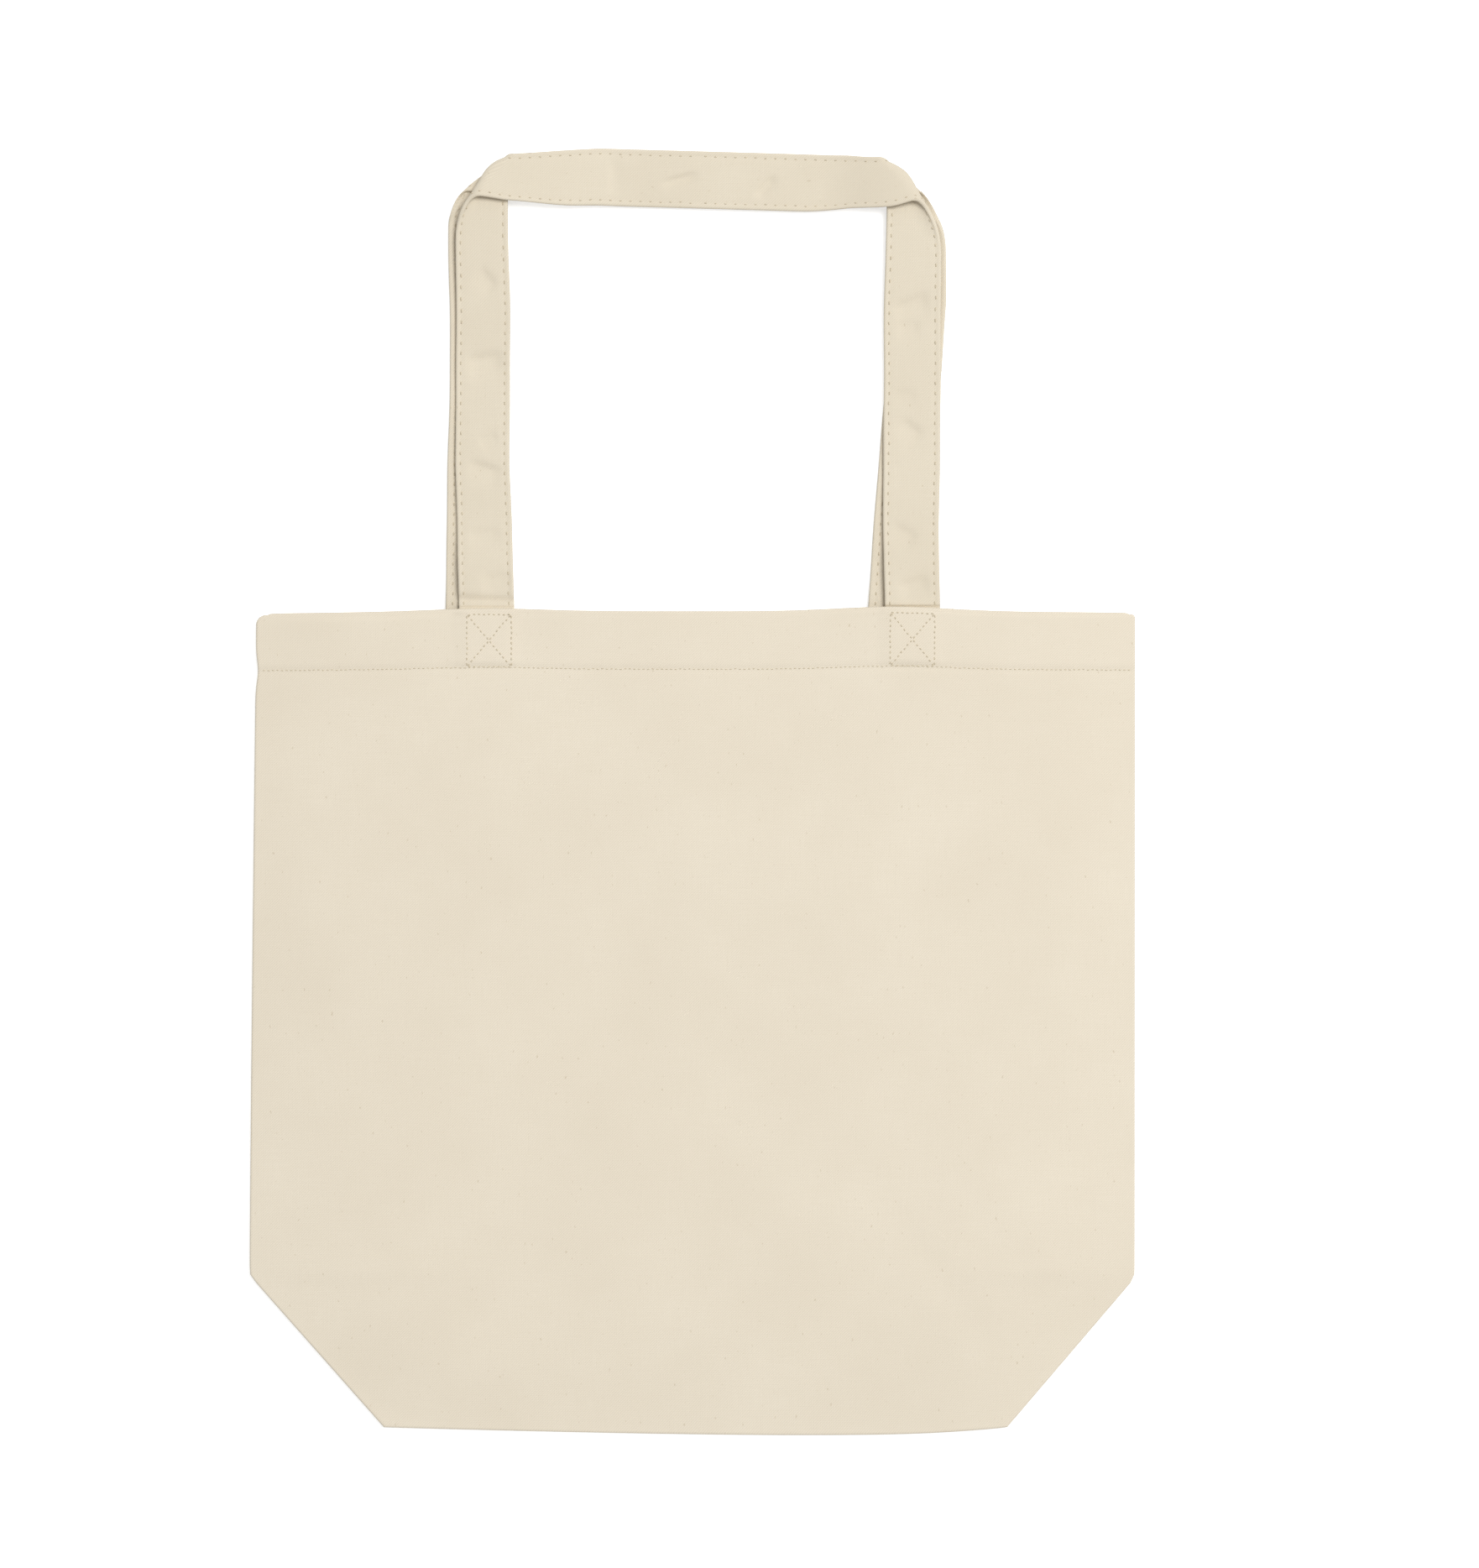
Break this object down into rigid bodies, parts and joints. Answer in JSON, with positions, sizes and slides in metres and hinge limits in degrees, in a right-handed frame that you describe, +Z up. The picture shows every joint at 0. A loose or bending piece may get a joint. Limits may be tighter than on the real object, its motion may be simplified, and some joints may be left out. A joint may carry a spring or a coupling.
{
  "type": "canvas tote bag",
  "caption": "Flat-lying natural canvas tote bag with a hemmed mouth, boxed bottom corners and sewn strap handles folded square at the top, for carrying shopping.",
  "frame": {"origin": "middle of the whole outline seen from above, on the surface that the back panel lies on", "axes": "+X across the bag, +Y from the bottom edge towards the handles, +Z up out of the front panel; the bag lies on its back with the handles laid out above its mouth"},
  "size_m": [0.406, 0.59, 0.0097],
  "materials": {
    "canvas": "plain-weave natural cotton canvas, unbleached cream, matt",
    "strap": "the same canvas folded to a flat strap and edge-stitched, matt",
    "thread": "cotton sewing thread, cream, matt"
  },
  "bodies": {
    "back": {"back_panel": "canvas", "base_gusset": "canvas", "left_boxed_corner": "canvas", "right_boxed_corner": "canvas", "left_side_seam": "canvas", "right_side_seam": "canvas", "back_handle_left_end": "strap", "back_handle_right_end": "strap", "back_hem_stitching": "thread", "back_left_box_stitching": "thread", "back_right_box_stitching": "thread", "left_side_overlock": "thread", "right_side_overlock": "thread", "left_corner_stitching": "thread", "right_corner_stitching": "thread"},
    "front": {"front_panel": "canvas", "front_handle_left_end": "strap", "front_handle_right_end": "strap", "front_hem_stitching": "thread", "front_left_box_stitching": "thread", "front_right_box_stitching": "thread"},
    "front_handle": {"front_handle": "strap", "front_handle_stitching": "thread"},
    "back_handle": {"back_handle": "strap", "back_handle_stitching": "thread"}
  },
  "joints": [
    {"name": "mouth_open", "type": "hinge", "parent": "back", "child": "front", "pos_m": [0, -0.295, 0.0036], "axis": [1, 0, 0], "range_deg": [0, 8]},
    {"name": "front_handle_flop", "type": "hinge", "parent": "front", "child": "front_handle", "pos_m": [0, 0.084, 0.0094], "axis": [1, 0, 0], "range_deg": [0, 176]},
    {"name": "back_handle_flop", "type": "hinge", "parent": "back", "child": "back_handle", "pos_m": [0, 0.084, -0.0002], "axis": [1, 0, 0], "range_deg": [-176, 0]}
  ]
}
